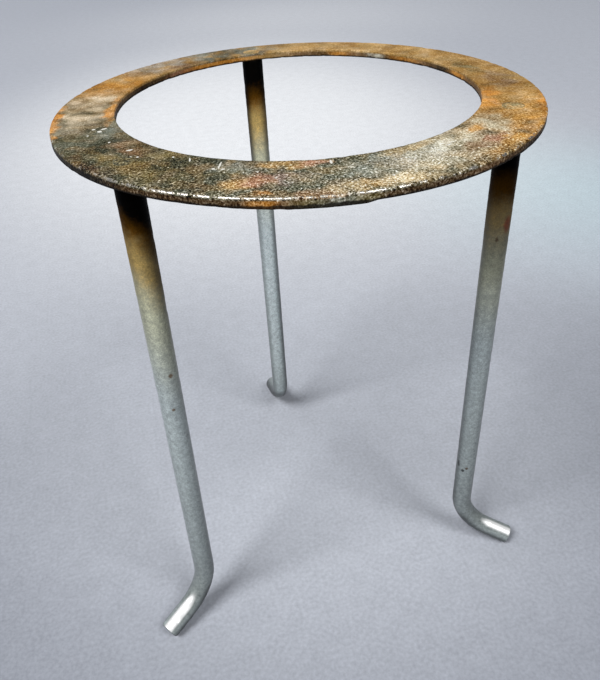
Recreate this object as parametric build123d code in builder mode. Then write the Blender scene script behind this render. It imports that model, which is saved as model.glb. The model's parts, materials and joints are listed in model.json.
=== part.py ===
"""Laboratory tripod stand: a flat steel ring carried by three bent rod legs.

Lengths are in millimetres. The origin is on the bench, under the centre of the ring's outer edge. +Z is up and
+Y points from the ring's centre to the rear leg.
"""
import os
from math import cos, radians, sin, tan

from build123d import *

# Ring
ring_outer_diameter = 150.0
ring_band_width = 17.7
ring_thickness = 2.5
hole_offset_share = 0.263
hole_offset_angle = 72.0
outer_edge_round = 0.7
hole_edge_chamfer = 0.4
edge_limit_share = 0.8

# Legs
stand_height = 194.5
rod_diameter = 8.0
leg_place_share = 0.545
leg_splay = 3.0
leg_names = ("leg_rear", "leg_left", "leg_right")
rear_leg_angle = 90.0
front_leg_turn = 1.7
rear_leg_side_bend = 1.2
foot_reach = 22.0
foot_slope = 20.0
foot_bend_inner_radius = 14.5
foot_end_round = 0.7

# Riveted joint between each leg and the ring
spigot_diameter = 5.0
rivet_head_flare = 0.75
rivet_head_angle = 90.0
rivet_clearance = 0.05

# Length by which a rod runs past the plane that trims it
trim_overrun = 6.0

# Sizes worked out from the ones above
ring_outer_radius = ring_outer_diameter / 2
ring_underside = stand_height - ring_thickness
hole_radius = ring_outer_radius - ring_band_width
hole_centre = Vector(ring_band_width * hole_offset_share, 0).rotate(Axis.Z, hole_offset_angle)
edge_limit = ring_thickness * edge_limit_share
rod_radius = rod_diameter / 2
leg_circle_radius = ring_outer_radius - ring_band_width * leg_place_share
leg_step = 360 / len(leg_names)
leg_angles = (
    rear_leg_angle,
    rear_leg_angle + leg_step + front_leg_turn,
    rear_leg_angle - leg_step - front_leg_turn,
)
foot_bend_radius = foot_bend_inner_radius + rod_radius
foot_end_edge = min(foot_end_round, rod_radius * edge_limit_share)
foot_end_height = (rod_radius - foot_end_edge) * cos(radians(foot_slope))
foot_end_height += foot_end_edge * (1 - sin(radians(foot_slope)))
foot_drop = foot_reach * tan(radians(foot_slope))
spigot_radius = spigot_diameter / 2
rivet_head_radius = spigot_radius + rivet_head_flare
rivet_head_depth = rivet_head_flare / tan(radians(rivet_head_angle / 2))

os.makedirs("parts", exist_ok=True)

# Flat ring: its rim is rounded above and sharp below, its hole is eased above and lies a little off centre,
# and it is countersunk for the three rivets
with BuildPart() as ring:
    with BuildSketch(Plane.XY.offset(ring_underside)):
        Circle(ring_outer_radius)
        with Locations(hole_centre):
            Circle(hole_radius, mode=Mode.SUBTRACT)
    extrude(amount=ring_thickness)

    hole_rim, outer_rim = ring.edges().group_by(Axis.Z)[-1].sort_by(SortBy.RADIUS)
    fillet(outer_rim, min(outer_edge_round, edge_limit))
    chamfer(hole_rim, min(hole_edge_chamfer, edge_limit))

    with Locations([Vector(leg_circle_radius, 0, stand_height).rotate(Axis.Z, angle) for angle in leg_angles]):
        CounterSinkHole(
            radius=spigot_radius + rivet_clearance,
            counter_sink_radius=rivet_head_radius + rivet_clearance,
            counter_sink_angle=rivet_head_angle,
        )
ring.part.label = "ring"
export_step(ring.part, "parts/ring.step")

# Rod legs: a foot bent outward that slopes down to its end, which stands on the bench, a flat shoulder under the
# ring and a spigot riveted flush with the ring's top
for leg_name, leg_angle in zip(leg_names, leg_angles):
    outward = Vector(1, 0, 0).rotate(Axis.Z, leg_angle)
    sideways = outward.cross(Vector(0, 0, 1))
    leg_plane = Plane(origin=(0, 0, 0), x_dir=outward, z_dir=sideways)
    leg_top = outward * leg_circle_radius + Vector(0, 0, ring_underside)
    leg_knee = outward * (leg_circle_radius + leg_splay) + Vector(0, 0, foot_end_height + foot_drop)
    if leg_name == "leg_rear":
        leg_knee += sideways * rear_leg_side_bend
    with BuildPart() as leg:
        with BuildLine() as centre_line:
            FilletPolyline(
                leg_top + (leg_top - leg_knee).normalized() * trim_overrun,
                leg_knee,
                leg_knee + outward * foot_reach - Vector(0, 0, foot_drop),
                radius=foot_bend_radius,
            )
        with BuildSketch(Plane(origin=centre_line.line @ 0, z_dir=centre_line.line % 0)):
            Circle(rod_radius)
        sweep()
        split(bisect_by=Plane.XY.offset(ring_underside), keep=Keep.BOTTOM)

        foot_end = leg.faces().sort_by(Axis((0, 0, 0), outward))[-1]
        fillet(foot_end.edges(), foot_end_edge)

        with BuildSketch(leg_plane):
            with BuildLine():
                Polyline(
                    (leg_circle_radius, ring_underside),
                    (leg_circle_radius + spigot_radius, ring_underside),
                    (leg_circle_radius + spigot_radius, stand_height - rivet_head_depth),
                    (leg_circle_radius + rivet_head_radius, stand_height),
                    (leg_circle_radius, stand_height),
                    close=True,
                )
            make_face()
        revolve(axis=Axis(leg_plane.from_local_coords((leg_circle_radius, 0, 0)), (0, 0, 1)))
    leg.part.label = leg_name
    export_step(leg.part, f"parts/{leg_name}.step")
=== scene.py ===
"""Looks of a rusted laboratory tripod stand: a flat ring riveted onto three bent rod legs.

The stand's own sizes are in metres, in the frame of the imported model. Patterns are laid out in millimetres.
"""
import json
import math

import bpy
import numpy as np
from bpy.props import FloatProperty, FloatVectorProperty, IntProperty, PointerProperty
from mathutils import Matrix, Vector


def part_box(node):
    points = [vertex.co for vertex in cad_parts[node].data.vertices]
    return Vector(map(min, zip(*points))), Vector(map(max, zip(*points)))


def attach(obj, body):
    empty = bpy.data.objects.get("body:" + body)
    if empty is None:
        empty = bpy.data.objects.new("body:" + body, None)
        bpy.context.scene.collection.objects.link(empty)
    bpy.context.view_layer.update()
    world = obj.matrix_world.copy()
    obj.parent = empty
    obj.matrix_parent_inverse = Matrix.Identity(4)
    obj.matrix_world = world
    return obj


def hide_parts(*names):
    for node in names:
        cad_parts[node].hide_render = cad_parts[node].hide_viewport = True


bl_info = {
    "name": "Rusted Tripod Stand",
    "version": (1, 0, 0),
    "blender": (4, 5, 0),
    "location": "View3D > Sidebar > Tripod",
    "description": "Builds a rusted ring on three plated rod legs around a packed model",
    "category": "Object",
}

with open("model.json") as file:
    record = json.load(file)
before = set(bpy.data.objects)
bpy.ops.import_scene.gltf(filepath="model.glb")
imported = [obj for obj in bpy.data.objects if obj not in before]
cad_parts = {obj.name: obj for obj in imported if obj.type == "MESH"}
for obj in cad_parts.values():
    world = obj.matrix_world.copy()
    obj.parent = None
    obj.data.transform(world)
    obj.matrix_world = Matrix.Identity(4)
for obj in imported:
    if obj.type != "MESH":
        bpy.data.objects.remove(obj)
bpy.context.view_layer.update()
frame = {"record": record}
MM = 0.001
BODY = "root"

WHITE_LEVEL = 255
EYE_GAMMA = 2.2
SRGB_STRAIGHT_LIMIT = 0.04045
SRGB_STRAIGHT_SLOPE = 12.92
SRGB_OFFSET = 0.055
SRGB_POWER = 2.4

FULL_TURN = 2 * math.pi
QUARTER_TURN = math.pi / 2
FULL_DEGREES = 360

LEG_TURNS = {"leg_rear": 90.0, "leg_left": 211.7, "leg_right": 328.3}
# Turns, in degrees, of each leg's front and right, facing the way the stand is seen; the legs' painted shade
# and highlight are laid out from them
LEG_FRONTS = {"leg_rear": 11.0, "leg_left": -1.0, "leg_right": 34.0}
BENT_LEG = "leg_rear"


def mount(name):
    """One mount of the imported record, by name."""
    return next(entry for entry in frame["record"]["mounts"] if entry["name"] == name)


def srgb(red, green, blue):
    """Scene-linear colour from the 0 to 255 values that a picture editor shows."""
    shares = np.array([red, green, blue]) / WHITE_LEVEL
    curved = ((shares + SRGB_OFFSET) / (1 + SRGB_OFFSET)) ** SRGB_POWER
    linear = np.where(shares <= SRGB_STRAIGHT_LIMIT, shares / SRGB_STRAIGHT_SLOPE, curved)
    return tuple(float(value) for value in linear)


RING_LOW, RING_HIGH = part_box("ring")
REAR_LOW, REAR_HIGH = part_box("leg_rear")
ROD_RADIUS = -REAR_LOW.x
HOLE = mount("ring_hole")


def length_property(name, description, default):
    """A length in metres."""
    return FloatProperty(
        name=name, description=description, default=default, subtype="DISTANCE", unit="LENGTH"
    )


def colour_property(name, description, red, green, blue):
    """A surface colour, written as 0 to 255 values."""
    default = srgb(red, green, blue)
    return FloatVectorProperty(
        name=name, description=description, default=default, subtype="COLOR", min=0.0, max=1.0
    )


class RingSettings(bpy.types.PropertyGroup):
    """Sizes and finishes of the ring."""

    outer_radius: length_property(
        "Outer radius", "Radius of the ring's rim", (RING_HIGH.x - RING_LOW.x) / 2
    )
    thickness: length_property("Thickness", "Thickness of the plate", RING_HIGH.z - RING_LOW.z)
    top: length_property("Top", "Height of the ring's top face", RING_HIGH.z)
    hole_radius: length_property("Hole radius", "Radius of the hole", HOLE["dims"]["r_mm"] * MM)
    rim_round: length_property("Rim rounding", "Radius of the rim's upper edge", 0.7 * MM)
    hole_ease: length_property("Hole easing", "Radius of the hole's upper edge", 0.4 * MM)
    wear_depth: length_property("Wear depth", "Depth to which rust and wear eat the faces", 0.09 * MM)
    burr: length_property("Burr", "How far the rim's lower edge is beaten down at the front", 0.45 * MM)
    around: IntProperty(name="Steps around", description="Mesh steps around the ring", default=1080)
    # Bare metal on the rim's front: partly wear, partly a painted highlight
    bare_colour: colour_property("Bare edge", "Bare metal on the worn rim", 222, 216, 204)


class LegSettings(bpy.types.PropertyGroup):
    """Sizes and finishes of the three legs."""

    rod_radius: length_property("Rod radius", "Radius of the round rod", ROD_RADIUS)
    circle_radius: length_property("Leg circle", "Radius of the circle of rivets", REAR_LOW.y + ROD_RADIUS)
    splay: length_property("Splay", "Distance by which a knee stands outside its rivet", 3.0 * MM)
    aside: length_property("Aside", "How far the rear leg's foot stands aside", REAR_HIGH.x - ROD_RADIUS)
    foot_reach: length_property("Foot reach", "Level distance from the knee to the foot's end", 22.0 * MM)
    foot_slope: FloatProperty(
        name="Foot slope", description="How far the foot dips towards its end", subtype="ANGLE",
        default=math.radians(20.0),
    )
    bend_radius: length_property("Bend radius", "Radius of the bend's centre line", 18.5 * MM)
    end_round: length_property("End rounding", "Radius of the foot's cut end", 0.7 * MM)
    head_depth: length_property(
        "Head depth", "Height of the riveted end above the shoulder", RING_HIGH.z - RING_LOW.z
    )
    head_dome: length_property("Head dome", "How far the rivet head's edge lies below its middle", 0.06 * MM)
    head_radius: length_property("Rivet head", "Radius of the rivet's head", 3.25 * MM)
    spigot_radius: length_property("Spigot", "Radius of the spigot through the ring", 2.5 * MM)
    ripple: length_property("Ripple", "Unevenness of the plated rod", 0.03 * MM)
    around: IntProperty(name="Steps around", description="Mesh steps around the rod", default=56)
    zinc_colour: colour_property("Plating", "Dull zinc plating", 150, 158, 157)
    olive_colour: colour_property("Heat tint", "Faint olive heat tint", 152, 151, 124)
    ochre_colour: colour_property("Heat stain", "Ochre heat stain under the ring", 130, 106, 52)
    scorch_colour: colour_property("Scorch", "Dark brown scorching under the soot", 80, 52, 10)
    # Soot at the legs' tops, with the ring's shadow painted into it, and painted shade on the feet
    soot_and_shade_colour: colour_property("Soot", "Soot and black scale at the top", 6, 5, 4)
    # Painted highlight on the tops of the feet
    painted_highlight_colour: colour_property("Rubbed", "Bright plating on top of the feet", 250, 250, 250)


class StageSettings(bpy.types.PropertyGroup):
    """Floor, lamps and camera."""

    lens: FloatProperty(name="Lens", description="Camera lens in millimetres", default=34.299)
    camera_place: FloatVectorProperty(
        name="Camera place", description="Where the camera stands", subtype="TRANSLATION", unit="LENGTH",
        default=(-0.053644, -0.201628, 0.254520),
    )
    camera_turn: FloatProperty(
        name="Turn", description="Heading of the camera from +Y towards +X", subtype="ANGLE",
        default=math.radians(14.047),
    )
    camera_tilt: FloatProperty(
        name="Tilt", description="How far the camera looks down", subtype="ANGLE",
        default=math.radians(36.593),
    )
    camera_roll: FloatProperty(
        name="Roll", description="Roll of the camera to the right", subtype="ANGLE",
        default=math.radians(3.171),
    )
    key_power: FloatProperty(
        name="Key", description="Power of the high lamp on the left", default=300.0, unit="POWER"
    )
    fill_power: FloatProperty(
        name="Fill", description="Power of the lamp on the right", default=160.0, unit="POWER"
    )
    sky_strength: FloatProperty(name="Sky", description="Strength of the even light all round", default=0.06)
    backdrop_strength: FloatProperty(
        name="Backdrop", description="Brightness of the plain backdrop beyond the paper", default=0.45
    )
    paper_colour: colour_property("Paper", "Pale grey paper", 184, 188, 197)
    # Paper colours under painted shade at the near edge and under painted light where it pools
    paper_painted_shade: colour_property("Dim paper", "Paper at the near edge", 148, 152, 162)
    paper_painted_light: colour_property("Bright paper", "Paper where the light pools", 240, 242, 245)


# Least and most of a random field's wave numbers, as shares of that of its wavelength
WAVE_SPREAD = (0.7, 1.4)


def uneven(points, wavelength, seed, waves=28):
    """Random field over points: a sum of plane waves of about one wavelength.

    The waves' directions, lengths and phases are drawn from a seed.
    """
    draw = np.random.default_rng(seed)
    ways = draw.normal(size=(waves, 3))
    ways /= np.linalg.norm(ways, axis=1, keepdims=True)
    ways *= FULL_TURN / wavelength * draw.uniform(*WAVE_SPREAD, size=(waves, 1))
    phases = draw.uniform(0, FULL_TURN, size=waves)
    return np.sin(points @ ways.T + phases).sum(axis=-1) * math.sqrt(2 / waves)


def lengths(start, end, count):
    """Evenly spaced values from start up to, but not at, end."""
    return np.linspace(start, end, count, endpoint=False)


def quarter(radius, count):
    """Quarter circle from level to upright: distances along and up for each of count steps."""
    turn = lengths(0, QUARTER_TURN, count)
    return radius * np.sin(turn), radius * (1 - np.cos(turn))


# Mesh steps along the parts of the ring's section
EASE_STEPS = 5
RIM_STEPS = 8
WALL_STEPS = 6
TOP_STEPS = 38
UNDER_STEPS = 16


def plate_section(size):
    """Closed section of the plate, run backwards: underside, rim, top, hole and back to the underside.

    Each point has a share of the way from hole to rim, a distance outward from there and a height.
    """
    thick, rim, ease = size.thickness, size.rim_round, size.hole_ease
    ease_up, ease_out = quarter(ease, EASE_STEPS)
    rim_along, rim_down = quarter(rim, RIM_STEPS)
    faces = [
        (0, 0, lengths(0, thick - ease, WALL_STEPS)),
        (0, ease_out, thick - ease + ease_up),
        (lengths(0, 1, TOP_STEPS), None, thick),
        (1, rim_along - rim, thick - rim_down),
        (1, 0, lengths(thick - rim, 0, WALL_STEPS)),
        (lengths(1, 0, UNDER_STEPS), 0, 0),
    ]
    share, outward, height = [], [], []
    for part_share, part_out, part_height in faces:
        if part_out is None:
            part_out = ease * (1 - part_share) - rim * part_share
        row = np.broadcast_arrays(part_share, part_out, part_height)
        share.append(row[0])
        outward.append(row[1])
        height.append(row[2])
    return [np.concatenate(values).astype(float)[::-1] for values in (share, outward, height)]


# Keeps a division safe where a normal has no length
SMALLEST = 1e-12


def face_normals(grid):
    """Unit normals of a grid that closes both ways, from the cross product of its central differences."""
    along = np.roll(grid, -1, axis=0) - np.roll(grid, 1, axis=0)
    across = np.roll(grid, -1, axis=1) - np.roll(grid, 1, axis=1)
    normal = np.cross(along, across)
    return normal / np.maximum(np.linalg.norm(normal, axis=2, keepdims=True), SMALLEST)


# Wear of the ring: wavelength and seed of each random field, and its depth as a share of the wear depth
WAVES = (9 * MM, 3)
PITS = (2.6 * MM, 5)
NICKS = (5.0 * MM, 8)
EVEN_DEPTH = 0.35
WAVE_DEPTH = 0.5
PIT_DEPTH = 0.6
NICK_DEPTH = 1.2

# Levels of a random field above which pits and nicks start, and the depth at which they stop
PIT_START = 0.9
PIT_MOST = 1.2
NICK_START = 1.0
NICK_MOST = 1.0

# Middle and swing of the long waves in the wear
WAVE_MIDDLE = 0.5
WAVE_SWING = 0.25

# Middle of the band between hole and rim, and how far from it nicks begin, which leaves only the walls
BAND_MIDDLE = 0.5
WALL_SHARE = 0.49

# Where the rim's lower edge is beaten down, and over what angle that begins and ends, in degrees, and how far
# in from the rim it reaches, as a share of the band
BURR_START = 237
BURR_RISE = 16
BURR_END = 268.5
BURR_FALL = 2
LIP_SHARE = 0.2


def ring_grid(size):
    """Plate section carried round the ring's axis between the off-centre hole and the rim, then worn.

    The hole's distance from the axis at each angle is that of a circle whose centre is off the axis. Wear
    moves each point inward along its normal by a random field, deepest in scattered pits and nicks. Last, the
    rim's lower edge is moved down between two angles.
    """
    share, outward, height = plate_section(size)
    angle = lengths(0, FULL_TURN, size.around)[:, None]
    off = math.hypot(*HOLE["pos_m"][:2])
    from_off = angle - math.atan2(HOLE["pos_m"][1], HOLE["pos_m"][0])
    hole = off * np.cos(from_off) + np.sqrt(size.hole_radius**2 - (off * np.sin(from_off)) ** 2)
    radius = hole * (1 - share) + size.outer_radius * share + outward
    level = np.broadcast_to(size.top - size.thickness + height, radius.shape)
    grid = np.stack([radius * np.cos(angle), radius * np.sin(angle), level], axis=2)
    inward = face_normals(grid) * -1
    waves = np.clip(WAVE_MIDDLE + WAVE_SWING * uneven(grid, *WAVES), 0, 1)
    pits = np.clip(uneven(grid, *PITS) - PIT_START, 0, PIT_MOST)
    on_wall = np.abs(share - BAND_MIDDLE) > WALL_SHARE
    nicks = np.clip(uneven(grid, *NICKS) - NICK_START, 0, NICK_MOST) * on_wall
    depth = size.wear_depth * (EVEN_DEPTH + WAVE_DEPTH * waves + PIT_DEPTH * pits + NICK_DEPTH * nicks)
    grid = grid + inward * depth[:, :, None]
    degrees = np.degrees(angle)
    rise = np.clip((degrees - BURR_START) / BURR_RISE, 0, 1)
    fall = np.clip((BURR_END - degrees) / BURR_FALL, 0, 1)
    near_rim = np.clip((share - 1 + LIP_SHARE) / LIP_SHARE, 0, 1)
    near_underside = np.clip(1 - height / (size.thickness - size.rim_round), 0, 1)
    grid[:, :, 2] -= size.burr * rise * fall * near_rim * near_underside
    return grid


def unit(way):
    """The direction of a vector."""
    return way / np.linalg.norm(way)


# Mesh steps along a leg
HEAD_STEPS = 6
SHAFT_STEPS = 330
BEND_STEPS = 60
FOOT_STEPS = 40
END_STEPS = 6
CAP_STEPS = 5

# Shares of a radius that the circles on a leg's head start from, and that those on its cut end shrink towards
HEAD_FAN_SHARE = 0.15
CAP_FAN_SHARE = 0.1

# How far the shoulder's edge is eased, inward and down
SHOULDER_INSET = 0.2 * MM
SHOULDER_DROP = 0.3 * MM


def leg_line(size, ring, node):
    """Centre line of a leg from its rivet head to its foot's end: place, direction, level side and radius.

    The line falls straight from the shoulder under the ring to the knee and slopes straight on to the foot's
    end. The corner at the knee is a circular arc that touches both straights.
    """
    turn = math.radians(LEG_TURNS[node])
    outward = np.array([math.cos(turn), math.sin(turn), 0])
    upright = np.array([0, 0, 1.0])
    aside = np.cross(outward, upright) * (size.aside if node == BENT_LEG else 0)
    rod, bend, ease, plate = size.rod_radius, size.bend_radius, size.end_round, size.head_depth
    dip = size.foot_reach * math.tan(size.foot_slope)
    end_height = (rod - ease) * math.cos(size.foot_slope) + ease * (1 - math.sin(size.foot_slope))
    shoulder = outward * size.circle_radius + upright * (ring.top - ring.thickness)
    knee = outward * (size.circle_radius + size.splay) + aside + upright * (end_height + dip)
    end = knee + outward * size.foot_reach - upright * dip
    fall, out = unit(knee - shoulder), unit(end - knee)
    curl = math.acos(fall @ out)
    tangent = bend * math.tan(curl / 2)
    start = knee - fall * tangent
    inward = unit(out - fall * (fall @ out))
    flat, level = np.cross(upright, outward), unit(np.cross(out, fall))

    head, spigot, dome = size.head_radius, size.spigot_radius, size.head_dome
    across = lengths(HEAD_FAN_SHARE, 1, HEAD_STEPS)
    throat = np.array([dome, dome + head - spigot, plate])
    down = lengths(SHOULDER_DROP, np.linalg.norm(start - shoulder), SHAFT_STEPS)
    arc = lengths(0, curl, BEND_STEPS)[:, None]
    bent = start + bend * (fall * np.sin(arc) + inward * (1 - np.cos(arc)))
    along = lengths(tangent, np.linalg.norm(end - knee) - ease, FOOT_STEPS)
    end_along, end_in = quarter(ease, END_STEPS)
    rows = [
        (shoulder + np.outer(plate - dome * across**2, upright), -upright, flat, head * across),
        (shoulder + np.outer(plate - throat, upright), -upright, flat, np.array([head, spigot, spigot])),
        (shoulder, -upright, flat, rod - SHOULDER_INSET),
        (shoulder + np.outer(down, fall), fall, level, rod),
        (bent, fall * np.cos(arc) + inward * np.sin(arc), level, rod),
        (knee + np.outer(along, out), out, level, rod),
        (end + np.outer(end_along - ease, out), out, level, rod - end_in),
        (end, out, level, (rod - ease) * lengths(1, CAP_FAN_SHARE, CAP_STEPS)),
    ]
    columns = [[], [], [], []]
    for place, way, side, radius in rows:
        radius = np.atleast_1d(radius)[:, None]
        for column, values in zip(columns, np.broadcast_arrays(place, way, side, radius)):
            column.append(values)
    return [np.concatenate(column)[:, None, :] for column in columns]


# Ripples of the plating: wavelengths, and the strength of the short ones next to the long ones
LONG_RIPPLE = 7 * MM
SHORT_RIPPLE = 2.5 * MM
SHORT_SHARE = 0.6

# Shares of the rod's radius: the least that ripples, the most that is a cut end, and how high a foot is
RIPPLED_SHARE = 0.9
END_SHARE = 0.97
FOOT_SHARE = 3


def leg_grid(size, ring, node, seed):
    """Round section carried along the leg's bent centre line, with the plating's ripple taken off its radius.

    A section lies square to the line: its points are the centre plus the radius times the cosine along the
    line's own front and the sine along the level side. Each point is marked with how far it faces right,
    frontward and up, and with whether it lies on the foot's cut end.
    """
    middle, way, level, radius = leg_line(size, ring, node)
    around = lengths(0, FULL_TURN, size.around)[None, :, None]
    spoke = np.cross(way, level) * np.cos(around) + level * np.sin(around)
    skin = middle + spoke * radius
    ripple = uneven(skin, LONG_RIPPLE, seed) + SHORT_SHARE * uneven(skin, SHORT_RIPPLE, seed + 1)
    ripple = -size.ripple * np.abs(ripple)[:, :, None] * (radius > RIPPLED_SHARE * size.rod_radius)
    narrow = (radius < END_SHARE * size.rod_radius)[:, :, 0]
    turn = math.radians(LEG_FRONTS[node])
    marks = {
        "right": spoke @ np.array([math.cos(turn), -math.sin(turn), 0]),
        "front": spoke @ np.array([-math.sin(turn), -math.cos(turn), 0]),
        "up": spoke[:, :, 2],
        "end": narrow * (skin[:, :, 2] < FOOT_SHARE * size.rod_radius),
    }
    return skin + spoke * ripple, marks


def quads(rows, columns, closed):
    """Corner numbers of the quads between a grid's neighbouring rows; its columns wrap, and its rows may."""
    row = np.arange(rows if closed else rows - 1)[:, None]
    column = np.arange(columns)[None, :]
    below, right = (row + 1) % rows, (column + 1) % columns
    start, under = row * columns, below * columns
    corners = [start + column, under + column, under + right, start + right]
    return np.stack(np.broadcast_arrays(*corners), axis=2).reshape(-1, 4)


def put_piece(name, grid, material, closed, marks=None):
    """Makes a smooth-shaded mesh object of a grid; an open grid gets a fan to a pole at each end.

    Marks are values of the grid's points, kept as attributes of the mesh for its material.
    """
    rows, columns = grid.shape[:2]
    points = grid.reshape(-1, 3)
    faces = quads(rows, columns, closed).tolist()
    if not closed:
        points = np.concatenate([points, grid[0].mean(axis=0)[None], grid[-1].mean(axis=0)[None]])
        first = np.arange(columns)
        after = (first + 1) % columns
        last = (rows - 1) * columns
        faces += np.stack([np.full(columns, rows * columns), first, after], axis=1).tolist()
        faces += np.stack([np.full(columns, rows * columns + 1), last + after, last + first], axis=1).tolist()
    mesh = bpy.data.meshes.new(name)
    mesh.from_pydata(points.tolist(), [], faces)
    mesh.shade_smooth()
    mesh.materials.append(material)
    for mark, values in (marks or {}).items():
        share = np.zeros(len(points), dtype=np.float32)
        share[:values.size] = values.ravel()
        mesh.attributes.new(mark, "FLOAT", "POINT").data.foreach_set("value", share)
    mesh.validate()
    piece = bpy.data.objects.new(name, mesh)
    bpy.context.scene.collection.objects.link(piece)
    return piece


# Sockets of the colour Mix node, which go by number because several share a name
MIX_SHARE = 0
MIX_FIRST = 6
MIX_SECOND = 7
MIX_RESULT = 2


class Wire:
    """A node's output socket. Sums and products of wires and numbers add Math nodes to the tree."""

    def __init__(self, tree, socket=None):
        self.tree = tree
        self.socket = socket

    def node(self, kind, settings=None, values=None, output=0):
        """Adds a node with settings and with values or links at its sockets; gives one output as a wire."""
        made = self.tree.nodes.new(kind)
        for name, value in (settings or {}).items():
            setattr(made, name, value)
        for name, value in (values or {}).items():
            if isinstance(value, Wire):
                self.tree.links.new(value.socket, made.inputs[name])
            else:
                made.inputs[name].default_value = value
        return Wire(self.tree, made.outputs[output])

    def math(self, operation, first, second=0.0):
        """Adds a Math node."""
        return self.node("ShaderNodeMath", {"operation": operation}, {0: first, 1: second})

    def __add__(self, other):
        return self.math("ADD", self, other)

    def __radd__(self, other):
        return self.math("ADD", other, self)

    def __sub__(self, other):
        return self.math("SUBTRACT", self, other)

    def __rsub__(self, other):
        return self.math("SUBTRACT", other, self)

    def __mul__(self, other):
        return self.math("MULTIPLY", self, other)

    def __rmul__(self, other):
        return self.math("MULTIPLY", other, self)

    def __pow__(self, other):
        return self.math("POWER", self, other)

    def __rpow__(self, other):
        return self.math("POWER", other, self)

    def above(self, low, high, most=1.0):
        """0 below low, most above high and a smooth step between; low may be the larger of the two."""
        values = {"Value": self, "From Min": low, "From Max": high, "To Max": most}
        return self.node("ShaderNodeMapRange", {"interpolation_type": "SMOOTHSTEP"}, values)

    def ramp(self, stops):
        """Colours of the palette along this number, which goes from 0 to 1 as the stops' angles go round."""
        made = self.node("ShaderNodeValToRGB", None, {0: self})
        elements = made.socket.node.color_ramp.elements
        elements.remove(elements[1])
        for number, (angle, name) in enumerate(stops):
            place = angle / FULL_DEGREES
            element = elements[0] if number == 0 else elements.new(place)
            element.position = place
            element.color = paint(name)
        return made

    def share(self, low, high):
        """Low where this number is 0, high where it is 1."""
        return self * (high - low) + low

    def grey(self):
        """This number as a grey colour."""
        return self.node("ShaderNodeCombineColor", None, {0: self, 1: self, 2: self})

    def mixed(self, other, share, blend="MIX"):
        """This colour with a share of the other colour blended in."""
        settings = {"data_type": "RGBA", "blend_type": blend}
        values = {MIX_SHARE: share, MIX_FIRST: self, MIX_SECOND: other}
        return self.node("ShaderNodeMix", settings, values, MIX_RESULT)


def rgba(colour):
    """A colour with an opaque alpha."""
    return (*colour[:3], 1.0)


# Half size of a blot along an axis that it has no end on
ENDLESS = 1e6

# Middle level of a noise
MIDDLE = 0.5

# Noises of a rusted face: size of the lumps in millimetres, detail and roughness
GRAINS = (0.8, 2.0, 0.75)
SPECKS = (0.5, 1.0, 0.6)
LUMPS = (2.6, 4.0, 0.65)
CLOUDS = (9.0, 3.0, 0.55)

# How strong specks and lumps are next to the grains, and grains and clouds at the back and at the front
SPECK_STRENGTH = 1.3
LUMP_STRENGTH = 0.1
GRAIN_STRENGTHS = (0.36, 1.15)
CLOUD_STRENGTHS = (0.6, 0.18)

# Levels of the grains over which a bright fleck shows, and its strength outside and inside the dark blot
SPARKLE_BAND = (0.57, 0.7)
SPARKLES = (0.36, 0.2)

# Wide blots of a rusted face: middle and half sizes in millimetres
DARK_BLOT = ((-50, -36, 0), (50, 48, ENDLESS))
LIGHT_BLOT = ((-8, -64, 0), (44, 46, ENDLESS))
BLOT_STEP = 0.05
ALL_DARKER = 0.015

# Distances along Y, in millimetres, over which the back turns into the front, and their slant along X
FRONT_BAND = (0, -90)
FRONT_SLANT = 0.2


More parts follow.
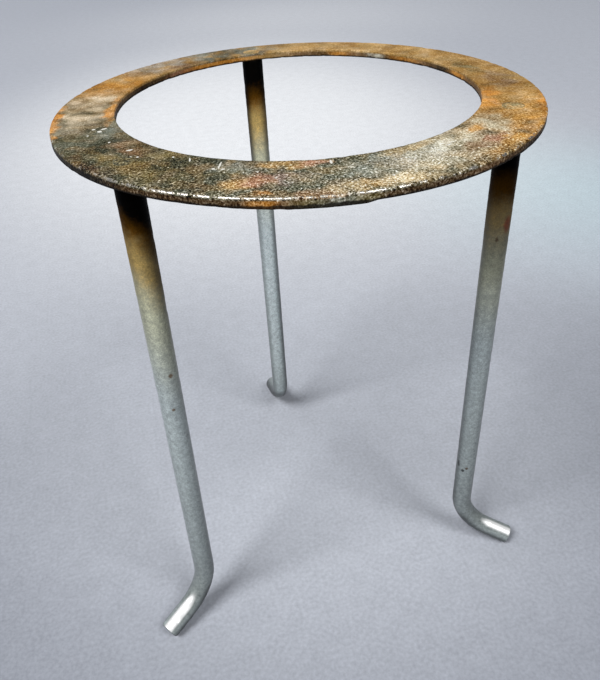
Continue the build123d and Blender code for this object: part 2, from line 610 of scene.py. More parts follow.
class Surface:
    """A material's tree with its place in millimetres, and the noises and blots that finishes are made of."""

    def __init__(self, name):
        self.material = bpy.data.materials.new(name)
        self.material.use_nodes = True
        self.tree = self.material.node_tree
        self.shader = self.tree.nodes["Principled BSDF"]
        self.start = Wire(self.tree)
        place = self.start.node("ShaderNodeTexCoord", output="Object")
        self.place = place.node("ShaderNodeVectorMath", {"operation": "SCALE"}, {0: place, "Scale": 1 / MM})
        self.x, self.y, self.z = (self.part(self.place, axis) for axis in "XYZ")

    def part(self, place, axis):
        """A place's distance along one axis."""
        return self.start.node("ShaderNodeSeparateXYZ", None, {0: place}, axis)

    def colour_of(self, colour):
        """A wire that carries one scene-linear colour."""
        made = self.start.node("ShaderNodeRGB")
        made.socket.default_value = rgba(colour)
        return made

    def colour(self, shades):
        """A wire that carries one colour written as 0 to 255 values."""
        return self.colour_of(srgb(*shades))

    def mark(self, name):
        """One of the mesh's own marks."""
        return self.start.node("ShaderNodeAttribute", {"attribute_name": name}, None, "Fac")

    def noise(self, size, detail=3.0, roughness=0.55, place=None, colour=False):
        """Noise whose lumps are about size millimetres."""
        values = {"Vector": place or self.place, "Scale": 1 / size, "Detail": detail, "Roughness": roughness}
        return self.start.node("ShaderNodeTexNoise", None, values, "Color" if colour else "Fac")

    def shifted(self, reach):
        """The place moved by the same distance along each axis, for a noise of its own."""
        return self.place.node("ShaderNodeVectorMath", {"operation": "ADD"}, {0: self.place, 1: (reach,) * 3})

    def turn_of(self, place):
        """Angle of a place about the axis, from 0 to 1 counterclockwise from +X."""
        turn = self.start.math("ARCTAN2", self.part(place, "Y"), self.part(place, "X"))
        return self.start.math("FRACT", turn * (1 / FULL_TURN) + 1.0)

    def pits(self):
        """Steps up and down in a rusted face's brightness, from its grains and pits.

        Grains are strongest towards the front and clouds at the back. A wide blot on the left is darker, with
        weaker flecks, and one at the front is lighter.
        """
        grains = self.noise(*GRAINS)
        specks = self.noise(*SPECKS)
        dark = self.blot(self.place, *DARK_BLOT, soft=1.0)
        light = self.blot(self.place, *LIGHT_BLOT, soft=1.0)
        flecks = grains.above(*SPARKLE_BAND) * dark.share(*SPARKLES)
        fine = (grains - MIDDLE) + (specks - MIDDLE) * SPECK_STRENGTH + flecks
        coarse = (self.noise(*LUMPS) - MIDDLE) * LUMP_STRENGTH
        cloud = self.noise(*CLOUDS) - MIDDLE
        front = (self.y + self.x * FRONT_SLANT).above(*FRONT_BAND)
        tone = light * BLOT_STEP - dark * BLOT_STEP - ALL_DARKER
        grain = (fine + coarse) * front.share(*GRAIN_STRENGTHS)
        return grain + cloud * front.share(*CLOUD_STRENGTHS) + tone

    def pitted(self, colour, pits):
        """A colour whose red, green and blue all go up or down by the pits' steps, as the eye sees them."""
        seen = colour.node("ShaderNodeGamma", None, {0: colour, 1: 1 / EYE_GAMMA})
        settings = {"data_type": "RGBA", "blend_type": "ADD", "clamp_result": True}
        values = {MIX_SHARE: 1.0, MIX_FIRST: seen, MIX_SECOND: pits.grey()}
        seen = seen.node("ShaderNodeMix", settings, values, MIX_RESULT)
        return seen.node("ShaderNodeGamma", None, {0: seen, 1: EYE_GAMMA})

    def warped(self, size, reach):
        """The place, pushed about by a noise of that size by up to half of reach, for ragged outlines."""
        push = self.noise(size, colour=True)
        values = {0: push, 1: (reach,) * 3, 2: (-reach / 2,) * 3}
        push = push.node("ShaderNodeVectorMath", {"operation": "MULTIPLY_ADD"}, values)
        return push.node("ShaderNodeVectorMath", {"operation": "ADD"}, {0: self.place, 1: push})

    def blot(self, place, centre, half, turn=0.0, soft=0.6):
        """1 inside an oval of half sizes about centre, turned about Z, fading to 0 at its edge."""
        values = {"Vector": place, "Location": centre, "Rotation": (0, 0, turn), "Scale": half}
        inside = self.start.node("ShaderNodeMapping", {"vector_type": "TEXTURE"}, values)
        away = inside.node("ShaderNodeVectorMath", {"operation": "LENGTH"}, {0: inside}, "Value")
        return away.above(1.0, 1.0 - soft)

    def feed(self, socket, value):
        """Links a wire to one of the shader's sockets, or sets the socket to a number."""
        if isinstance(value, Wire):
            self.tree.links.new(value.socket, self.shader.inputs[socket])
        else:
            self.shader.inputs[socket].default_value = value

    def bump(self, height, strength, distance):
        """Feeds the normal from a height in millimetres."""
        values = {"Height": height, "Strength": strength, "Distance": distance * MM}
        self.feed("Normal", self.start.node("ShaderNodeBump", None, values))


PALETTE = {
    "amber": (212, 144, 60), "orange": (194, 138, 58), "tan": (182, 144, 86), "red": (164, 114, 84),
    "brown": (128, 98, 66), "olive": (126, 112, 70), "scale": (80, 80, 60), "grey": (138, 142, 128),
    "pale": (218, 214, 194), "yellow": (200, 178, 136), "streak": (200, 181, 150),
    "plum": (130, 114, 106), "slate": (82, 86, 74), "umber": (84, 62, 36), "white": (240, 238, 228),
    "black": (16, 13, 9), "sage": (198, 188, 160), "rust": (132, 60, 24), "dust": (164, 152, 136),
    "straw": (226, 202, 158),
}

# Stains on the ring: colour, angle about the axis, distance from it, half length along the band, half width
# across it. Angles are in degrees, lengths in millimetres. Later stains lie over earlier ones.
RING_STAINS = (
    ("orange", 322, 66, 40, 15), ("tan", 350, 66, 26, 15), ("tan", 10, 66, 30, 16),
    ("tan", 45, 65, 34, 12), ("tan", 72, 66, 24, 12), ("tan", 76, 65, 12, 6), ("slate", 98, 69, 25, 17),
    ("dust", 122, 70, 18, 9), ("orange", 146, 68, 20, 14), ("brown", 118, 62, 9, 3),
    ("streak", 167, 65, 21, 11), ("amber", 174, 74.5, 30, 2.6), ("amber", 168, 57, 18, 2.2),
    ("grey", 191, 59, 7, 4), ("brown", 205, 59, 11, 4.5), ("olive", 217, 56.5, 8, 3.2),
    ("olive", 211, 67.5, 9, 2.8), ("umber", 207, 74, 15, 2.4), ("olive", 220, 67, 14, 6),
    ("grey", 240, 57.5, 9, 4), ("tan", 243, 67, 5, 5.5), ("red", 247, 65, 6, 5),
    ("plum", 251.5, 63.5, 4.5, 5), ("tan", 250, 55.5, 9, 3.2), ("red", 258, 55, 5, 2.2),
    ("scale", 259, 65, 10, 6), ("brown", 257, 73.5, 13, 2.8), ("yellow", 264.5, 71, 6, 3.5),
    ("tan", 269, 71.5, 4, 3), ("grey", 274, 61, 12, 7), ("grey", 279, 59, 8, 3.5),
    ("straw", 278, 71, 12, 4), ("sage", 292, 62, 25, 10), ("pale", 289, 61, 13, 5),
    ("yellow", 287, 55.5, 12, 2.4), ("brown", 298, 66, 5, 3.5), ("sage", 314, 61.5, 8, 7),
    ("orange", 308, 60, 4.5, 2.5), ("red", 304, 67, 4.5, 3), ("orange", 306, 72, 10, 3),
    ("orange", 318, 69, 8, 5), ("amber", 330, 74, 17, 2.2), ("olive", 328, 64, 4.4, 3),
    ("amber", 337, 58.5, 12, 4), ("brown", 352, 67, 11, 6), ("olive", 8, 64, 9, 4),
    ("amber", 248.7, 72, 2.6, 2.0),
)

# Flecks all over the ring: colour, size of the lumps in millimetres, noise level above which they show, and
# strength.
RING_FLECKS = (
    ("brown", 7.0, 0.51, 0.22), ("olive", 8.0, 0.52, 0.22), ("slate", 6.0, 0.53, 0.14),
    ("streak", 5.0, 0.54, 0.14), ("tan", 4.5, 0.55, 0.16), ("yellow", 3.5, 0.58, 0.14),
)

# Colours of the walls of the hole and of the rim at angles about the axis, in degrees; they blend in between.
HOLE_WALL = (
    (0, "brown"), (4, "amber"), (9, "amber"), (13, "black"), (18, "black"), (24, "brown"),
    (34, "amber"), (41, "umber"), (45, "pale"), (48, "umber"), (53, "brown"), (59, "amber"),
    (64, "umber"), (74, "brown"), (86, "tan"), (94, "amber"), (112, "amber"), (120, "red"),
    (128, "umber"), (140, "black"), (150, "umber"), (166, "black"), (190, "umber"), (250, "brown"),
    (300, "tan"), (345, "brown"),
)
RIM_WALL = (
    (0, "umber"), (60, "brown"), (150, "umber"), (192, "black"), (212, "black"), (222, "umber"),
    (238, "umber"), (244, "umber"), (249, "amber"), (252, "brown"), (255, "olive"), (262, "grey"),
    (267, "olive"), (270, "umber"), (284, "umber"), (292, "brown"), (302, "umber"), (310, "black"),
    (330, "umber"),
)

# Chips and scratches showing white: place on the ring, half width, half length and turn in degrees.
RING_CHIPS = (
    (-62.4, -5.6, 0.5, 0.4, 0), (-60.8, -8.2, 0.6, 0.7, 30), (-59.5, -6.2, 0.8, 0.45, 20),
    (-64.2, -10.6, 0.3, 0.4, 0), (-53.6, -27.0, 0.9, 0.4, 10), (-53.8, -32.2, 0.3, 0.4, 0),
    (-52.0, -33.0, 0.3, 0.4, 0), (-43.2, -36.7, 0.3, 0.4, 0), (-39.4, -40.0, 0.2, 1.2, 170),
    (-34.8, -48.4, 0.4, 0.5, 0), (-32.9, -46.8, 0.22, 2.0, 160), (-32.6, -49.6, 0.4, 0.4, 0),
    (-6.7, -55.2, 0.3, 1.1, 170), (-25.0, -54.4, 0.3, 0.3, 0), (-21.7, -59.7, 0.3, 0.3, 0),
    (-58.6, -18.6, 0.3, 0.4, 0),
)

# Full reach of stains and chips, as a share of their stated sizes, and their strength
STAIN_REACH = 1.45
STAIN_STRENGTH = 0.92
CHIP_REACH = 1.4
CHIP_STRENGTH = 0.9
CHIP_LEVELS = (0.1, 0.8)

# Ragged outlines: size of the noise that pushes them about and its reach, in millimetres
STAIN_EDGE = (4.0, 7.0)
CHIP_EDGE = (0.7, 0.6)

# Noises that break up the stains and rough the ring's surface: size of the lumps, detail and roughness
PATCHES = (4.5, 0.5, 0.55)
PATCH_STRENGTH = 2.6
FINE_RUST = (0.55, 1.0, 0.6)
RUST_SPECKLE = (0.9, 2.0, 0.75)

# Where bare scale turns into tan rust, in millimetres along Y, and its slant along X
RUSTY_BAND = (-30, 10)
RUSTY_SLANT = 0.6

# Stains that shine a little, as worn plating does
SHINY_STAINS = ("pale", "grey", "yellow")

# Distance between the parts of space that the flecks' noises are taken from
FLECK_SHIFT = 100

# Step in a fleck's noise over which it comes to show in full
FLECK_EDGE = 0.12

# Band of heights below the top, in millimetres, over which a face turns into a wall
WALL_BAND = (0.5, 1.1)

# Distances from the axis, in millimetres, over which the hole's wall gives way to the rim's
HOLE_TO_RIM = (66, 68)

# Walls: noise levels over which tints and the colours set by angle show, their strengths and that of the pits
WALL_OLIVE = (0.5, 0.6)
WALL_AMBER = (0.5, 0.75)
WALL_TINT = 0.3
WALL_COLOUR_LEVELS = (0.3, 0.5)
WALL_COLOUR_SHARES = (0.6, 1.0)
WALL_PITS = 0.6
WALL_STRENGTH = 0.9

# Heights above the underside, in millimetres, over which the wall's foot turns black, and how uneven that is
BLACK_BAND = (0.85, 0.3)
BLACK_UNEVEN = 1.2
BLACK_STRENGTH = 0.92

# Middle of the rim's painted highlight, where most bare metal is laid, in degrees, and its half sizes in
# millimetres
HIGHLIGHT_ANGLE = 248
HIGHLIGHT_HALF = (24, 62, ENDLESS)

# Where the rim's corner shows bare metal, partly wear and partly a painted highlight since it lies only on
# the front: distances past the start of its rounding and along Y, in millimetres, and the noise levels that
# leave it in patches
CORNER_BAND = (0.7, 0.9)
HIGHLIGHT_SIDE = (5, -25)
WORN_LEVELS = (0.55, 0.72)
CORNER_UNEVEN = 0.35
WORN_UNEVEN = 1.2
HIGHLIGHT_MORE = 0.2

# Shine of dry rust and of bare metal
RUST_SPECULAR = 0.12
RUST_ROUGHNESS = 0.6
BARE_ROUGHNESS = 0.33
ROUGHNESS_UNEVEN = 0.5

# Shiny stains: noise levels over which they shine, how metallic they are and how much smoother
SHINE_LEVELS = (0.44, 0.6)
SHINE_METAL = 0.4
SHINE_SMOOTHER = 0.2

# Relief of the rust, as shares of the bump's distance
SPECKLE_RELIEF = 0.6
FINE_RELIEF = 0.4
LUMP_RELIEF = 0.7


def paint(name):
    """A palette colour for a Mix node."""
    return rgba(srgb(*PALETTE[name]))


def ring_finish(size):
    """Dark scale overlaid with dry rust, pale plating thinned by wear, white chips and bare metal on the
    rim's front that is partly wear and partly a painted highlight.
    """
    made = Surface("rusted_plate")
    top, rim = size.top / MM, size.outer_radius / MM
    under = top - size.thickness / MM
    level = made.start.node("ShaderNodeCombineXYZ", None, {0: made.x, 1: made.y})
    radius = level.node("ShaderNodeVectorMath", {"operation": "LENGTH"}, {0: level}, "Value")
    ragged = made.warped(*STAIN_EDGE)
    grain = made.noise(*FINE_RUST)
    speckle = made.noise(*RUST_SPECKLE)
    mottle = made.noise(*LUMPS)
    swing = mottle - MIDDLE

    rusty = (made.x * RUSTY_SLANT + made.y).above(*RUSTY_BAND)
    colour = made.colour(PALETTE["scale"]).mixed(paint("tan"), rusty)
    lift = 1 + (made.noise(*PATCHES) - MIDDLE) * PATCH_STRENGTH
    pale = 0.0
    for name, angle, place, along, across in RING_STAINS:
        turn = math.radians(angle)
        centre = (place * math.cos(turn), place * math.sin(turn), 0)
        half = (across * STAIN_REACH, along * STAIN_REACH, ENDLESS)
        oval = made.blot(ragged, centre, half, turn, soft=1.0)
        share = (oval * lift).above(0.0, 1.0, STAIN_STRENGTH)
        colour = colour.mixed(paint(name), share)
        if name in SHINY_STAINS:
            pale = pale + share

    for number, (name, lump, level, strength) in enumerate(RING_FLECKS):
        shifted = made.shifted(FLECK_SHIFT * (number + 1))
        fleck = made.noise(lump, detail=0.5, roughness=0.5, place=shifted)
        fleck = fleck.above(level, level + FLECK_EDGE) * strength
        colour = colour.mixed(paint(name), fleck)
    pits = made.pits()
    colour = made.pitted(colour, pits)

    wall = made.z.above(top - WALL_BAND[0], top - WALL_BAND[1])
    wall_colour = made.colour(PALETTE["umber"])
    wall_colour = wall_colour.mixed(paint("olive"), speckle.above(*WALL_OLIVE) * WALL_TINT)
    wall_colour = wall_colour.mixed(paint("amber"), mottle.above(*WALL_AMBER) * WALL_TINT)
    way = made.turn_of(ragged)
    painted = way.ramp(HOLE_WALL).mixed(way.ramp(RIM_WALL), radius.above(*HOLE_TO_RIM))
    share = mottle.above(*WALL_COLOUR_LEVELS).share(*WALL_COLOUR_SHARES)
    wall_colour = wall_colour.mixed(painted, share)
    colour = colour.mixed(made.pitted(wall_colour, pits * WALL_PITS), wall * WALL_STRENGTH)
    low = (made.z + swing * BLACK_UNEVEN).above(under + BLACK_BAND[0], under + BLACK_BAND[1])
    colour = colour.mixed(paint("black"), low * BLACK_STRENGTH)

    chips = 0.0
    chipped = made.warped(*CHIP_EDGE)
    for x, y, across, along, angle in RING_CHIPS:
        half = (across * CHIP_REACH, along * CHIP_REACH, ENDLESS)
        chips = chips + made.blot(chipped, (x, y, 0), half, math.radians(angle), soft=0.5)
    white = chips.above(*CHIP_LEVELS) * (1 - wall)
    colour = colour.mixed(paint("white"), white * CHIP_STRENGTH)

    # Bare metal on the rim's corner, laid only on the front and most where the highlight falls: partly wear,
    # partly a painted highlight
    ease = size.rim_round / MM
    corner = (radius - (rim - ease)) + (made.z - (top - ease)) + swing * CORNER_UNEVEN
    turn = math.radians(HIGHLIGHT_ANGLE)
    centre = (rim * math.cos(turn), rim * math.sin(turn), top)
    painted_highlight = made.blot(made.place, centre, HIGHLIGHT_HALF, turn, soft=0.5)
    patchy = (speckle + swing * WORN_UNEVEN + painted_highlight * HIGHLIGHT_MORE).above(*WORN_LEVELS)
    worn_and_highlight = corner.above(*CORNER_BAND) * made.y.above(*HIGHLIGHT_SIDE) * patchy
    colour = colour.mixed(rgba(size.bare_colour), worn_and_highlight)
    made.feed("Base Color", colour)
    bright = (pale * speckle.above(*SHINE_LEVELS)).above(0.0, 1.0)
    made.feed("Metallic", (worn_and_highlight + bright * SHINE_METAL).above(0.0, 1.0))
    made.feed("Specular IOR Level", RUST_SPECULAR)
    rough = RUST_ROUGHNESS + swing * ROUGHNESS_UNEVEN - bright * SHINE_SMOOTHER
    made.feed("Roughness", rough * (1 - worn_and_highlight) + worn_and_highlight * BARE_ROUGHNESS)
    relief = speckle * SPECKLE_RELIEF + grain * FINE_RELIEF + mottle * LUMP_RELIEF
    made.bump(relief, strength=0.6, distance=0.3)
    return made.material


# Spots on the legs: colour, place, half size across and half height, all in millimetres.
LEG_SPOTS = (
    ("umber", (-55.1, -38.7, 126.2), 1.0, 1.2), ("umber", (-56.5, -39.0, 112.4), 1.0, 0.9),
    ("rust", (57.3, -38.6, 158.3), 1.9, 3.8), ("umber", (54.4, -38.3, 153.1), 0.8, 1.2),
    ("black", (53.7, -36.2, 46.8), 0.9, 2.2), ("black", (54.8, -38.4, 44.0), 0.9, 1.0),
    ("umber", (56.0, -39.2, 45.6), 0.8, 1.0), ("black", (-60.3, -34.8, 149.8), 0.7, 1.4),
)

# Heat stains and soot of the legs, the soot also painting the ring's shadow, and the band near the ring where
# more painted shade and light come in: how far below the ring each begins and is full, in millimetres
OLIVE_BAND = (85, 45)
OCHRE_BAND = (48, 30)
SCORCH_BAND = (29, 19)
SOOT_BAND = (22, 14)
SHADE_BAND = (62, 40)

# Strength of the heat stains and the spots
OLIVE_STRENGTH = 0.85
OCHRE_STRENGTH = 0.92
SPOT_STRENGTH = 0.85

# How far the stains' edges are pushed up or down, in millimetres, by noises and on each leg; on the left leg
# they reach lower towards its right, as the ring's painted shadow does
DRIFT_PUSH = 8
MOTTLE_PUSH = 6
REAR_PUSH = 6
LEFT_PUSH = 4
RIGHT_SCORCH_PUSH = 3

# Heights, in millimetres, over which a leg turns into a foot, and a spigot above the shoulder into a head
FOOT_BAND = (19, 13)
HEAD_BAND = (1.0, 1.6)

# Distances from the axis, in millimetres, over which a point comes to lie on one leg
LEG_SIDE = (20, 50)

# Noises of the plating: size of the lumps in millimetres, detail and roughness
MOTTLE = (1.4, 4.0, 0.6)
FINE_GRAIN = (0.45, 2.0, 0.6)
DRIFT = (9.0, 3.0, 0.5)
HEAD_STAINS = (3.0, 3.0, 0.6)
SPOT_EDGE = (1.2, 1.0)

# Painted shade on the legs: shares of brightness taken off towards a leg's right and left (on any leg, more
# on some, and more high up), broadly across the left leg, and low down above the feet
DIM_RIGHT = {"any": 0.3, "rear": 0.5, "left": 0.12, "left_high": 0.22}
DIM_LEFT = {"any": 0.15, "right": 0.47, "rear": 0.4, "left_and_rear_high": 0.3}
DIM_BROAD = 0.26
DIM_LOW = 0.26

# How far a point has to face right for each of these to begin and be full
RIGHT_FACING = (0.25, 0.95)
LEFT_FACING = (-0.3, -0.95)
BROAD_FACING = (-0.6, 0.8)

# Heights, in millimetres, over which the painted low shade comes and goes again, and over which painted light
# makes a leg brighter
LOW_COMES = (48, 18)
LOW_GOES = (12, 6)
BRIGHTER_BAND = (40, 105)
BRIGHTER = (1.0, 1.42)

# Painted light and shade on each leg: its level on any leg and what each leg adds or takes off, some of it
# high up; and how uneven the plating's tone is
LEG_PAINTED_LIGHT = {"any": 1.24, "left": 0.1, "rear": 0.7, "right": 0.08, "right_high": 0.6, "left_high": 0.3}
PLATING_UNEVEN = 1.2

# Feet: how far a point has to face up to get painted shade or a painted highlight, what facing front adds,
# and the strengths; then the painted shade low on the rear foot
FRONT_ADDS = 0.35
DARK_FACING = (0.75, 0.1)
BRIGHT_FACING = (0.84, 0.98)
END_DARK = 0.6
FOOT_DARK = 0.75
FOOT_BRIGHT = 0.95
REAR_FOOT_BAND = (15, 3)
REAR_FOOT_DARK = 0.7

# Rivet heads: distances along X over which scale turns into tan rust, and levels and strength of their stains
HEAD_RUSTY_BAND = (-20, 0)
HEAD_STAIN_LEVELS = (0.35, 0.6)
HEAD_STAIN_STRENGTH = 0.9

# Shine and relief of the plating
PLATING_METAL = 0.3
PLATING_SPECULAR = 0.5
PLATING_ROUGHNESS = 0.27
MOTTLE_ROUGHER = 0.16
OCHRE_ROUGHER = 0.4
PLATING_RELIEF = 0.5


def leg_finish(size, ring):
    """Dull zinc plating, tinted olive, scorched ochre and sooty towards the ring, with a few rust spots; the
    soot also paints the ring's shadow, and painted shade and light lie on the sides, along the height and on
    the feet, with a painted highlight on their tops.
    """
    made = Surface("plated_rod")
    under = (ring.top - ring.thickness) / MM
    right, front, up, end = (made.mark(name) for name in ("right", "front", "up", "end"))

    def below_ring(height, band):
        """How fully a height has come into a band below the ring."""
        return height.above(under - band[0], under - band[1])

    on_rear = made.y.above(*LEG_SIDE)
    on_right = made.x.above(*LEG_SIDE) * (1 - on_rear)
    on_left = made.x.above(-LEG_SIDE[0], -LEG_SIDE[1]) * (1 - on_rear)
    mottle = made.noise(*MOTTLE)
    grain = made.noise(*FINE_GRAIN)
    drift = made.noise(*DRIFT)
    ragged = made.warped(*SPOT_EDGE)
    height = made.z + (drift - MIDDLE) * DRIFT_PUSH + (mottle - MIDDLE) * MOTTLE_PUSH
    height = height - on_rear * REAR_PUSH + on_left * (right * LEFT_PUSH - LEFT_PUSH)
    olive = below_ring(height, OLIVE_BAND)
    ochre = below_ring(height, OCHRE_BAND)
    scorch = below_ring(height + on_right * RIGHT_SCORCH_PUSH, SCORCH_BAND)
    # Soot at the top, which also paints the ring's shadow there
    soot_and_shadow = below_ring(height, SOOT_BAND)
    colour = made.colour_of(size.zinc_colour)
    colour = colour.mixed(rgba(size.olive_colour), olive * OLIVE_STRENGTH)
    colour = colour.mixed(rgba(size.ochre_colour), ochre * OCHRE_STRENGTH)
    colour = colour.mixed(rgba(size.scorch_colour), scorch)
    colour = colour.mixed(rgba(size.soot_and_shade_colour), soot_and_shadow)
    for name, place, across, tall in LEG_SPOTS:
        spot = made.blot(ragged, place, (across, across, tall))
        colour = colour.mixed(paint(name), spot * SPOT_STRENGTH)

    # Painted shade, as shares of brightness taken off towards a leg's right and left, then painted light and
    # shade in its level, weighted for each leg
    high = below_ring(made.z, SHADE_BAND)
    dim_right = DIM_RIGHT["any"] + on_rear * DIM_RIGHT["rear"] + on_left * DIM_RIGHT["left"]
    dim_right = right.above(*RIGHT_FACING) * (dim_right + on_left * high * DIM_RIGHT["left_high"])
    dim_left = DIM_LEFT["any"] + on_right * DIM_LEFT["right"] + on_rear * DIM_LEFT["rear"]
    dim_left = dim_left + (on_left + on_rear) * high * DIM_LEFT["left_and_rear_high"]
    dim_left = right.above(*LEFT_FACING) * dim_left
    dim_broad = on_left * right.above(*BROAD_FACING) * DIM_BROAD
    low = made.z.above(*LOW_COMES) * (1 - made.z.above(*LOW_GOES)) * DIM_LOW
    level = LEG_PAINTED_LIGHT["any"] + on_left * LEG_PAINTED_LIGHT["left"] + on_rear * LEG_PAINTED_LIGHT["rear"]
    level = level - on_right * LEG_PAINTED_LIGHT["right"] - on_right * high * LEG_PAINTED_LIGHT["right_high"]
    level = level + on_left * high * LEG_PAINTED_LIGHT["left_high"]
    level = level * made.z.above(*BRIGHTER_BAND).share(*BRIGHTER)
    # The plating's uneven tone times the painted shade and light
    shade = math.e ** ((mottle - MIDDLE) * PLATING_UNEVEN + (grain - MIDDLE) * PLATING_UNEVEN)
    shade = shade * level * (1 - dim_right) * (1 - dim_left) * (1 - dim_broad) * (1 - low)
    colour = colour.mixed(shade.grey(), 1.0, "MULTIPLY")
    on_foot = made.z.above(*FOOT_BAND)
    facing = up + front * FRONT_ADDS
    # Painted shade on the feet: on sides facing away and on the cut ends, then low on the rear foot
    painted_foot_shade = (on_foot * facing.above(*DARK_FACING) + end * END_DARK) * FOOT_DARK
    colour = colour.mixed(rgba(size.soot_and_shade_colour), painted_foot_shade)
    painted_foot_shade = on_rear * made.z.above(*REAR_FOOT_BAND) * REAR_FOOT_DARK
    colour = colour.mixed(rgba(size.soot_and_shade_colour), painted_foot_shade)
    # Painted highlight along the tops of the feet, where they face up and frontward
    painted_highlight = on_foot * facing.above(*BRIGHT_FACING) * (1 - end)
    colour = colour.mixed(rgba(size.painted_highlight_colour), painted_highlight * FOOT_BRIGHT)
    head = made.z.above(under + HEAD_BAND[0], under + HEAD_BAND[1])
    rusty = made.x.above(*HEAD_RUSTY_BAND)
    head_colour = made.colour(PALETTE["scale"]).mixed(paint("tan"), rusty)
    stained = made.noise(*HEAD_STAINS).above(*HEAD_STAIN_LEVELS, HEAD_STAIN_STRENGTH)
    head_colour = head_colour.mixed(paint("olive"), stained)
    colour = colour.mixed(made.pitted(head_colour, made.pits()), head)
    made.feed("Base Color", colour)
    made.feed("Metallic", (1 - ochre) * PLATING_METAL + scorch * (1 - head))
    made.feed("Specular IOR Level", PLATING_SPECULAR)
    made.feed("Roughness", PLATING_ROUGHNESS + mottle * MOTTLE_ROUGHER + ochre * OCHRE_ROUGHER)
    made.bump(mottle * PLATING_RELIEF + grain * PLATING_RELIEF, strength=0.5, distance=0.15)
    return made.material


# Light and shade painted on the paper: a pool of light behind the stand, a glow far back, the lit middle near
# the stand and a lit patch beside it; middle and half sizes of each blot, in millimetres
POOL = ((85, 570, 0), (510, 560, ENDLESS))
GLOW = ((300, 1180, 0), (760, 640, ENDLESS))
NEAR = ((15, 12, 0), (235, 190, ENDLESS))
SIDE = ((345, 255, 0), (230, 240, ENDLESS))
GLOW_STRENGTH = 0.42
SIDE_STRENGTH = 0.22

# Distances along Y, in millimetres, over which the painted shade of the dim near edge gives way
NEAR_EDGE = (-60, 230)

# Noises of the paper: size of the lumps in millimetres, detail and roughness; then their strength and shine
PAPER_GRAIN = (1.6, 2.0, 0.6)
PAPER_CLOUD = (9.0, 2.0, 0.5)
PAPER_GRAIN_STRENGTH = 0.5
PAPER_CLOUD_STRENGTH = 0.16
PAPER_ROUGHNESS = 0.9
PAPER_SPECULAR = 0.2

# Faint cool tint of the light painted beside the stand
COOL_TINT = (0.87, 0.99, 1.0, 1.0)


def paper_finish(size):
    """Pale matt paper with painted light and shade: dim at the near edge, brighter where a pool of light is
    painted behind the stand, and brighter and cooler beside it.
    """
    made = Surface("pale_paper")
    pool, glow, near, side = (made.blot(made.place, *blot, soft=1.0) for blot in (POOL, GLOW, NEAR, SIDE))
    lit = (near + made.y.above(*NEAR_EDGE)).above(0, 1)
    colour = made.colour_of(size.paper_painted_shade).mixed(rgba(size.paper_colour), lit)
    bright = (pool + glow * GLOW_STRENGTH + side * SIDE_STRENGTH).above(0, 1)
    colour = colour.mixed(rgba(size.paper_painted_light), bright)
    colour = colour.mixed(COOL_TINT, side, "MULTIPLY")
    grain = made.noise(*PAPER_GRAIN) - MIDDLE
    cloud = made.noise(*PAPER_CLOUD) - MIDDLE
    shade = 1 + grain * PAPER_GRAIN_STRENGTH + cloud * PAPER_CLOUD_STRENGTH
    made.feed("Base Color", colour.mixed(shade.grey(), 1.0, "MULTIPLY"))
    made.feed("Roughness", PAPER_ROUGHNESS)
    made.feed("Specular IOR Level", PAPER_SPECULAR)
    return made.material


def paper_grid(width, depth, back, sweep, count):
    """Paper sheet: level, then a quarter circle of radius sweep, then upright, all carried across."""
    level = np.stack([lengths(-depth, back, count), np.zeros(count)], axis=1)
    turn = lengths(0, QUARTER_TURN, count)
    curl = np.stack([back + sweep * np.sin(turn), sweep * (1 - np.cos(turn))], axis=1)
    upward = np.linspace(sweep, sweep + depth, count)
    rise = np.stack([np.full(count, back + sweep), upward], axis=1)
    line = np.concatenate([level, curl, rise])
    across = np.linspace(-width, width, count)
    grid = np.empty((len(line), count, 3))
    grid[:, :, 0] = across[None, :]
    grid[:, :, 1] = line[:, 0, None]
    grid[:, :, 2] = line[:, 1, None]
    return grid


def put_sheet(name, grid, material):
    """Makes a mesh object of an open grid."""
    rows, columns = grid.shape[:2]
    corners = quads(rows, columns, False).reshape(rows - 1, columns, 4)[:, :-1].reshape(-1, 4)
    mesh = bpy.data.meshes.new(name)
    mesh.from_pydata(grid.reshape(-1, 3).tolist(), [], corners[:, ::-1].tolist())
    mesh.shade_smooth()
    mesh.materials.append(material)
    sheet = bpy.data.objects.new(name, mesh)
    bpy.context.scene.collection.objects.link(sheet)
    return sheet


def put_lamp(name, turn, tilt, distance, width, power, aim):
    """Adds a square soft lamp at a heading and a height about aim, facing it."""
    turn, tilt = math.radians(turn), math.radians(tilt)
    way = Vector((math.cos(turn) * math.cos(tilt), math.sin(turn) * math.cos(tilt), math.sin(tilt)))
    light = bpy.data.lights.new(name, "AREA")
    light.size = width
    light.energy = power
    lamp = bpy.data.objects.new(name, light)
    lamp.location = Vector(aim) + way * distance
    lamp.rotation_euler = way.to_track_quat("Z", "Y").to_euler()
    bpy.context.scene.collection.objects.link(lamp)


# Nearest distance that the camera sees, in metres
NEAREST_SEEN = 0.01


def put_camera(size):
    """Adds the camera: heading, tilt and roll give the picture's right, down and forward directions."""
    turn, tilt, roll = size.camera_turn, size.camera_tilt, size.camera_roll
    forward = Vector((math.sin(turn) * math.cos(tilt), math.cos(turn) * math.cos(tilt), -math.sin(tilt)))
    level = Vector((math.cos(turn), -math.sin(turn), 0))
    down = forward.cross(level)
    right = level * math.cos(roll) + down * math.sin(roll)
    up = level * math.sin(roll) - down * math.cos(roll)
    data = bpy.data.cameras.new("camera")
    data.lens = size.lens
    data.clip_start = NEAREST_SEEN
    camera = bpy.data.objects.new("camera", data)
    axes = Matrix((right, up, -forward)).transposed()
    camera.matrix_world = Matrix.Translation(Vector(size.camera_place)) @ axes.to_4x4()
    bpy.context.scene.collection.objects.link(camera)
    bpy.context.scene.camera = camera


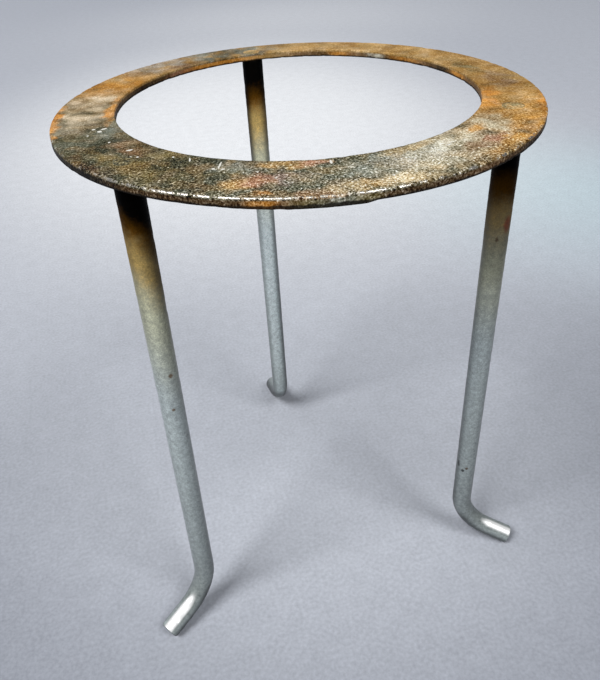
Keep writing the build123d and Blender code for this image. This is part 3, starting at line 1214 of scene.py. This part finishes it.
class TRIPOD_OT_ring(bpy.types.Operator):
    """Make the rusted ring in place of its plain solid"""

    bl_idname = "tripod.ring"
    bl_label = "Ring"

    def execute(self, context):
        size = context.scene.tripod_ring
        piece = put_piece("ring_plate", ring_grid(size), ring_finish(size), True)
        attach(piece, BODY)
        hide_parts("ring")
        return {"FINISHED"}


# Seeds of the legs' ripples: the first leg's, and the step from one leg to the next
LEG_SEED = 20
LEG_SEED_STEP = 10


class TRIPOD_OT_legs(bpy.types.Operator):
    """Make the three plated legs in place of their plain solids"""

    bl_idname = "tripod.legs"
    bl_label = "Legs"

    def execute(self, context):
        size, ring = context.scene.tripod_legs, context.scene.tripod_ring
        finish = leg_finish(size, ring)
        for number, node in enumerate(LEG_TURNS):
            grid, marks = leg_grid(size, ring, node, LEG_SEED + LEG_SEED_STEP * number)
            piece = put_piece(node.replace("leg", "rod"), grid, finish, False, marks)
            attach(piece, BODY)
            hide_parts(node)
        return {"FINISHED"}


# Paper: half width, reach to the front, distance to the sweep and its radius in metres, and mesh steps
PAPER = (3.0, 1.5, 2.0, 0.6, 24)

# Lamps: heading and height in degrees, distance and width in metres, and the point in the stand they face
KEY_LAMP = (205, 54, 6.0, 2.4)
FILL_LAMP = (302, 52, 6.0, 2.2)
LAMP_AIM = (0.0, 0.0, 0.1)

# Colour of the even light all round
SKY_COLOUR = (0.93, 0.96, 1.0, 1.0)


class TRIPOD_OT_stage(bpy.types.Operator):
    """Set up the paper, the lamps and the camera"""

    bl_idname = "tripod.stage"
    bl_label = "Stage"

    def execute(self, context):
        size = context.scene.tripod_stage
        sheet = put_sheet("paper", paper_grid(*PAPER), paper_finish(size))
        put_lamp("key", *KEY_LAMP, size.key_power, LAMP_AIM)
        put_lamp("fill", *FILL_LAMP, size.fill_power, LAMP_AIM)
        world = bpy.data.worlds.new("sky")
        world.use_nodes = True
        sky = world.node_tree.nodes["Background"]
        sky.inputs["Color"].default_value = SKY_COLOUR
        seen = Wire(world.node_tree).node("ShaderNodeLightPath", output="Is Camera Ray")
        strength = seen * size.backdrop_strength + size.sky_strength
        world.node_tree.links.new(strength.socket, sky.inputs["Strength"])
        context.scene.world = world
        context.scene.view_settings.view_transform = "Standard"
        put_camera(size)
        return {"FINISHED"}


class TRIPOD_PT_panel(bpy.types.Panel):
    """Sidebar panel that lists the stand's pieces and settings"""

    bl_idname = "TRIPOD_PT_panel"
    bl_label = "Tripod Stand"
    bl_space_type = "VIEW_3D"
    bl_region_type = "UI"
    bl_category = "Tripod"

    def draw(self, context):
        for name in ("ring", "legs", "stage"):
            settings = getattr(context.scene, f"tripod_{name}")
            box = self.layout.box()
            box.operator(f"tripod.{name}")
            for key in settings.__annotations__:
                box.prop(settings, key)


CLASSES = (
    RingSettings, LegSettings, StageSettings,
    TRIPOD_OT_ring, TRIPOD_OT_legs, TRIPOD_OT_stage,
    TRIPOD_PT_panel,
)


def register():
    """Registers the classes and puts their settings on the scene."""
    for item in CLASSES:
        bpy.utils.register_class(item)
    bpy.types.Scene.tripod_ring = PointerProperty(type=RingSettings)
    bpy.types.Scene.tripod_legs = PointerProperty(type=LegSettings)
    bpy.types.Scene.tripod_stage = PointerProperty(type=StageSettings)


def unregister():
    """Takes the settings off the scene and the classes out again."""
    del bpy.types.Scene.tripod_ring
    del bpy.types.Scene.tripod_legs
    del bpy.types.Scene.tripod_stage
    for item in reversed(CLASSES):
        bpy.utils.unregister_class(item)


def main():
    """Builds the stage and the stand."""
    register()
    bpy.ops.tripod.stage()
    bpy.ops.tripod.legs()
    bpy.ops.tripod.ring()


if __name__ == "__main__":
    main()
